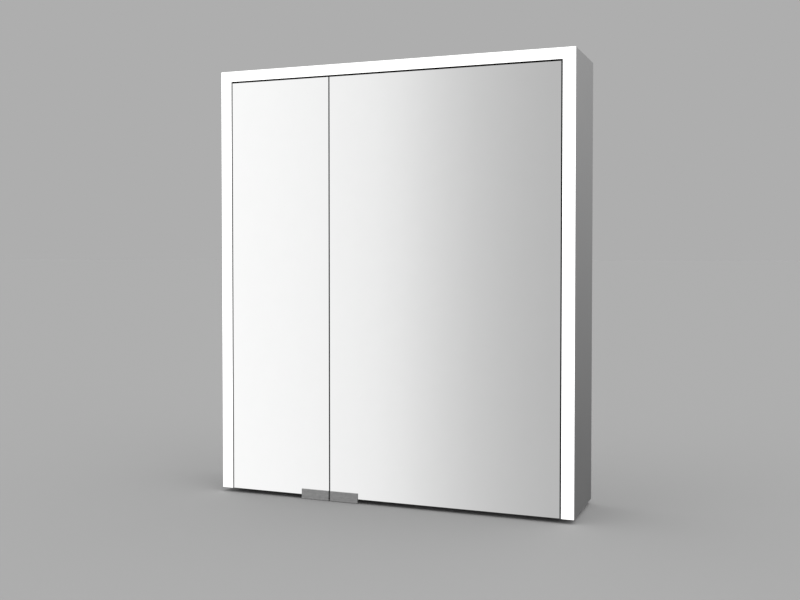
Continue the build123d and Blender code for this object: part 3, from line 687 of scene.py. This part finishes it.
def stop_pads():
    """Domed clear pads that the doors close against."""
    shape = bmesh.new()
    for points in islands("door_buffers"):
        low_y, high_y = min(p.y for p in points), max(p.y for p in points)
        radius = (max(p.x for p in points) - min(p.x for p in points)) / 2
        centre = middle(points)
        profile = [(0, 0, 0)] + [(radius * r, (high_y - low_y) * h, 0) for r, h in PAD]
        revolve(shape, profile, Vector((centre.x, high_y, centre.z)), Vector((0, -1, 0)))
    finished(shape, "stop_pads", "cabinet", "silicone", ("door_buffers",))


SOCKET_LOW, SOCKET_HIGH = (Vector(corner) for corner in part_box("socket_insert"))
SOCKET_MID = (SOCKET_LOW + SOCKET_HIGH) / 2
RECESS_R = 19.5 * MM
CONTACT_X = 9.5 * MM
TO_FRONT = Vector((0, -1, 0))


def socket_details():
    """The rim, contact sleeves and earth springs of the socket."""
    front = Vector((SOCKET_MID.x, SOCKET_LOW.y, SOCKET_MID.z))
    shape = bmesh.new()
    inner, outer = RECESS_R, RECESS_R + 1.9 * MM
    rim = ((inner, -0.6), (inner, 0.35), (inner + 0.25 * MM, 0.6), (outer - 0.5 * MM, 0.75))
    rim += ((outer - 0.15 * MM, 0.55), (outer, 0.1), (outer, -0.6))
    revolve(shape, [(r, h * MM, 0) for r, h in rim], front, TO_FRONT, 64, ring=True)
    finished(shape, "socket_rim", "cabinet", "white_plastic")

    shape = bmesh.new()
    sleeve = ((2.5, 0), (2.5, 4.9), (2.35, 5.1), (2.05, 5.0), (1.9, 4.6), (1.9, 0))
    for side in (-1, 1):
        foot = Vector((SOCKET_MID.x + side * CONTACT_X, SOCKET_HIGH.y, SOCKET_MID.z))
        revolve(shape, [(r * MM, h * MM, 0) for r, h in sleeve], foot, TO_FRONT, 24, ring=True)
    # Height in from the recess wall and distance behind the front, along one spring
    spring = ((0.5, 16.5), (0.5, 12), (1.9, 8.5), (2.5, 6), (1.7, 3.6), (0.5, 2.2), (0.4, 1.2))
    flat = [(a * MM, b * MM) for a, b in ((-2.6, -0.3), (2.6, -0.3), (2.6, 0.3), (-2.6, 0.3))]
    for side in (-1, 1):
        line = []
        for inward, back in spring:
            line.append(front + Vector((0, back * MM, side * (RECESS_R - inward * MM))))
        sweep(shape, smooth_path(line), flat, Vector((1, 0, 0)))
    finished(shape, "socket_contacts", "cabinet", "plated")


def switch_marks():
    """A ring and a bar on the rocker, raised a little."""
    low, high = (Vector(corner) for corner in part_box("switch_rocker"))
    middle_x = (low.x + high.x) / 2
    rock = next(joint for joint in frame["joints"] if joint["child"] == "light_switch")
    pivot = Vector(rock["pos_m"])
    # At rest the rocker leans half of its ten degrees, and its face is this far from its pivot
    lean, reach = math.radians(5), 10.5 * MM
    face = Vector((0, -math.cos(lean), -math.sin(lean)))
    up = Vector((0, -math.sin(lean), math.cos(lean)))
    front = Vector((middle_x, pivot.y, pivot.z)) + face * reach
    shape = bmesh.new()
    ring = ((2.1, -0.3), (2.1, 0.12), (2.25, 0.2), (2.55, 0.2), (2.7, 0.12), (2.7, -0.3))
    revolve(shape, [(r * MM, h * MM, 0) for r, h in ring], front - up * 9 * MM, face, 40, ring=True)
    bar = [front + up * (9 + step) * MM - face * 0.05 * MM for step in (-2.7, -0.9, 0.9, 2.7)]
    sweep(shape, bar, circle(0.3 * MM, 12), Vector((1, 0, 0)))
    finished(shape, "switch_marks", "light_switch", "grey_plastic")


WIRE_PITCH = 10 * MM
# How far the terminal screws are from the block's edges, and how deep they sit
TERMINAL_INSET = 3.2 * MM
TERMINAL_SINK = 0.4 * MM
TERMINAL_HEAD = (2.0 * MM, 1.2 * MM)
TERMINAL_SHANK = (1.1 * MM, 4 * MM)
CORE_R = 1.15 * MM


def wiring():
    """Terminal screws, and the three cores that run from the mains lead to the block."""
    low, high = (Vector(corner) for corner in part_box("terminal_block"))
    block = (low + high) / 2
    lead_low, lead_high = (Vector(corner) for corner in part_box("mains_lead"))
    lead = (lead_low + lead_high) / 2
    shape = bmesh.new()
    for number in (-1, 0, 1):
        for z in (low.z + TERMINAL_INSET, high.z - TERMINAL_INSET):
            seat = Vector((block.x + number * WIRE_PITCH, high.y - TERMINAL_SINK, z))
            head, shank = TERMINAL_HEAD, TERMINAL_SHANK
            pan_screw(shape, seat, Vector((0, 1, 0)), head, shank, 0.5 * number, 1)
    finished(shape, "terminal_screws", "cabinet", "plated")
    for number, colour in ((1, "brown"), (0, "blue"), (-1, "green")):
        hole = Vector((block.x + number * WIRE_PITCH, lead.y, low.z))
        sag = (5.5 - 2.2 * number) * MM
        # Out of the lead, down in a slack curve, and up into the block
        start = Vector((lead_low.x, lead.y + number * 1.6 * MM, lead.z - 0.6 * MM))
        line = [start, start + Vector((-4 * MM, 0, -0.8 * MM)), start + Vector((-9 * MM, 0, -sag))]
        line += [hole + Vector((5 * MM, 0, -sag - 2.5 * MM)), hole + Vector((0.6 * MM, 0, -5 * MM))]
        line += [hole + Vector((0, 0, 3 * MM))]
        shape = bmesh.new()
        sweep(shape, smooth_path(line), circle(CORE_R), Vector((0, 1, 0)))
        finished(shape, f"{colour}_core", "cabinet", f"{colour}_core")


# Where the clips are along the lead's run, as shares of it
CLIP_SHARES = (0.22, 0.62)
FOOT_HALF, FOOT_T = 8 * MM, 1.6 * MM
STEM_HALF, STEM_RISE = 3 * MM, 2.4 * MM


def lead_clips():
    """Stick-on clips that carry the low voltage lead along the back panel."""
    run_low, run_high = (Vector(corner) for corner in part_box("led_lead"))
    driver_low, driver_high = (Vector(corner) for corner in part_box("led_driver"))
    panel_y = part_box("back_panel")[1][1]
    radius = (run_high.z - run_low.z) / 2
    z = run_low.z + radius
    y = (driver_low.y + driver_high.y) / 2
    shape = bmesh.new()
    for share in CLIP_SHARES:
        x = driver_high.x + share * (run_high.x - driver_high.x)
        start = (x - FOOT_HALF, panel_y, z - FOOT_HALF)
        end = (x + FOOT_HALF, panel_y + FOOT_T, z + FOOT_HALF)
        rounded_block(shape, start, end, 0.6 * MM)
        start = (x - STEM_HALF, panel_y + MM, z - STEM_RISE)
        end = (x + STEM_HALF, y - radius, z + STEM_RISE)
        rounded_block(shape, start, end, 0.5 * MM)
        loop = ((0.05, -2), (0.05, 2), (0.5, 2.2), (0.9, 1.8), (0.9, -1.8), (0.5, -2.2))
        profile = [(radius + r * MM, h * MM, 0) for r, h in loop]
        revolve(shape, profile, Vector((x, y, z)), Vector((1, 0, 0)), 32, ring=True)
    finished(shape, "lead_clips", "cabinet", "white_plastic")


# Half width, height over the driver's face, and distance from its long edges
RIB_HALF, RIB_HEIGHT, RIB_INSET = 1.2 * MM, 0.7 * MM, 8 * MM
SEAM_HALF, SEAM_HEIGHT, SEAM_INSET = 0.4 * MM, 0.35 * MM, 2.5 * MM
RIB_PITCH = 6 * MM
SEAM_X = 58 * MM
# How far ribs and seams reach into the driver
ROOT = 0.3 * MM


def driver_ribs():
    """Cooling ribs, and the lines of the end covers, on the driver's rear face."""
    low, high = (Vector(corner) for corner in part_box("led_driver"))
    shape = bmesh.new()
    middle_x = (low.x + high.x) / 2
    for number in range(-7, 8):
        x = middle_x + number * RIB_PITCH
        start = (x - RIB_HALF, high.y - ROOT, low.z + RIB_INSET)
        end = (x + RIB_HALF, high.y + RIB_HEIGHT, high.z - RIB_INSET)
        rounded_block(shape, start, end, 0.35 * MM)
    for side in (-1, 1):
        x = middle_x + side * SEAM_X
        start = (x - SEAM_HALF, high.y - ROOT, low.z + SEAM_INSET)
        end = (x + SEAM_HALF, high.y + SEAM_HEIGHT, high.z - SEAM_INSET)
        rounded_block(shape, start, end, 0.15 * MM)
    finished(shape, "driver_ribs", "cabinet", "white_plastic")


stop_pads()
socket_details()
switch_marks()
wiring()
lead_clips()
driver_ribs()

# ---------------------------------------------------------------------------
# Floor, light and camera
# ---------------------------------------------------------------------------

FLOOR_GAP = 0.0005
FLOOR_HALF = 60.0
FLOOR_ALBEDO = 0.364


def floor():
    """A plain pale floor just under the grips."""
    mesh = bpy.data.meshes.new("floor")
    z = cad_low[2] - FLOOR_GAP
    corners = [(-FLOOR_HALF, -FLOOR_HALF, z), (FLOOR_HALF, -FLOOR_HALF, z)]
    corners += [(FLOOR_HALF, FLOOR_HALF, z), (-FLOOR_HALF, FLOOR_HALF, z)]
    mesh.from_pydata(corners, [], [(0, 1, 2, 3)])
    made, nodes, shader = new_material("pale_floor")
    shader.inputs["Base Color"].default_value = (FLOOR_ALBEDO,) * 3 + (1,)
    shader.inputs["Roughness"].default_value = 1.0
    shader.inputs["Specular IOR Level"].default_value = 0.0
    mesh.materials.append(made)
    plane = bpy.data.objects.new("floor", mesh)
    bpy.context.scene.collection.objects.link(plane)
    plane.visible_glossy = False


# Levels from 0 to 255: the backdrop, and what reflections that look well down see
BACKDROP = 174
GROUND = 168
# The mirrors' own reflectance, which the levels seen in them are divided by
SILVER = 0.905
STUDIO_PEAK = 1.2
OVERHEAD = 0.6
# Degrees to the left of straight ahead, and how bright the studio is there
STUDIO_STOPS = [(-180, 0.378), (-130, 0.388), (-95, 0.50), (-60, 0.58), (-34, 0.64)]
STUDIO_STOPS += [(angle, srgb(level) / SILVER) for angle, level in (
    (-14, 206), (-4, 188), (4, 183), (12.5, 183), (14.5, 189), (16.8, 200), (18.9, 213),
    (21.1, 228), (23.0, 237), (25.1, 241), (28.0, 246), (31.0, 250), (35.0, 253),
)]
STUDIO_STOPS += [(60, 1.15), (110, 1.1), (150, 0.6), (180, 0.40)]


def studio():
    """A soft studio all round: a white screen to the left front, greyer to the right."""
    world = bpy.data.worlds.new("studio")
    bpy.context.scene.world = world
    world.use_nodes = True
    nodes = Nodes(world.node_tree)
    direction = nodes.add("ShaderNodeTexCoord").outputs["Generated"]
    parts = nodes.add("ShaderNodeSeparateXYZ")
    nodes.put(parts.inputs[0], direction)
    x, y, z = parts.outputs
    # Angle from straight ahead of the cabinet, positive to its left
    angle = nodes.maths("ARCTAN2", nodes.maths("MULTIPLY", x, -1), nodes.maths("MULTIPLY", y, -1))
    ramp = nodes.add("ShaderNodeValToRGB")
    while len(ramp.color_ramp.elements) < len(STUDIO_STOPS):
        ramp.color_ramp.elements.new(0.5)
    for element, (degrees, level) in zip(ramp.color_ramp.elements, STUDIO_STOPS):
        element.position = degrees / 360 + 0.5
        element.color = (level / STUDIO_PEAK,) * 3 + (1,)
    nodes.put(ramp.inputs[0], nodes.remap(angle, -math.pi, math.pi, 0, 1))
    around = nodes.maths("MULTIPLY", ramp.outputs[0], STUDIO_PEAK)
    # Away from the screen, to the right and behind, the studio darkens towards the floor
    height = nodes.maths("ARCSINE", z)
    rise = nodes.remap(height, math.radians(-35), math.radians(35), -0.4, 2.4)
    side = nodes.remap(angle, math.radians(-60), math.radians(-25), 1, 0, smooth=True)
    shade = nodes.add("ShaderNodeMix", data_type="FLOAT")
    nodes.put(shade.inputs[0], side)
    nodes.put(shade.inputs[2], 1.0)
    nodes.put(shade.inputs[3], rise)
    lit = nodes.maths("MULTIPLY", around, shade.outputs[0])
    # Reflections that look well down see a level like the floor's
    low = nodes.remap(height, math.radians(-34), math.radians(-17), 1, 0, smooth=True)
    ground = nodes.add("ShaderNodeMix", data_type="FLOAT")
    nodes.put(ground.inputs[0], low)
    nodes.put(ground.inputs[2], lit)
    nodes.put(ground.inputs[3], srgb(GROUND))
    # A soft light overhead
    above = nodes.remap(z, 0.55, 0.95, 0, OVERHEAD, smooth=True)
    level = nodes.maths("ADD", ground.outputs[0], above)
    light = nodes.add("ShaderNodeBackground")
    joined = nodes.add("ShaderNodeCombineColor")
    for socket in joined.inputs[:3]:
        nodes.put(socket, level)
    nodes.put(light.inputs[0], joined.outputs[0])
    seen = nodes.add("ShaderNodeBackground")
    seen.inputs[0].default_value = grey(BACKDROP)
    path = nodes.add("ShaderNodeLightPath")
    choose = nodes.add("ShaderNodeMixShader")
    nodes.put(choose.inputs[0], path.outputs["Is Camera Ray"])
    nodes.put(choose.inputs[1], light.outputs[0])
    nodes.put(choose.inputs[2], seen.outputs[0])
    output = nodes.add("ShaderNodeOutputWorld")
    nodes.put(output.inputs[0], choose.outputs[0])


# The camera's place from the middle of the front's lower edge, its turn and tilt in degrees
EYE = Vector((0.5979, -1.4875, 0.3966))
YAW, PITCH = 21.14, -1.487
FOCAL_MM = 45.46
SHIFT = -0.025


def camera():
    """The camera of the main view."""
    lens = bpy.data.cameras.new("camera")
    lens.sensor_width = 36.0
    lens.lens = FOCAL_MM
    lens.shift_y = SHIFT
    eye = bpy.data.objects.new("camera", lens)
    bpy.context.scene.collection.objects.link(eye)
    eye.location = Vector((0, FRONT_Y, BOTTOM_Z)) + EYE
    eye.rotation_euler = (math.pi / 2 + math.radians(PITCH), 0, math.radians(YAW))
    bpy.context.scene.camera = eye


floor()
studio()
camera()
bpy.context.scene.view_settings.view_transform = "Standard"
bpy.context.scene.view_settings.look = "None"

bpy.context.view_layer.update()
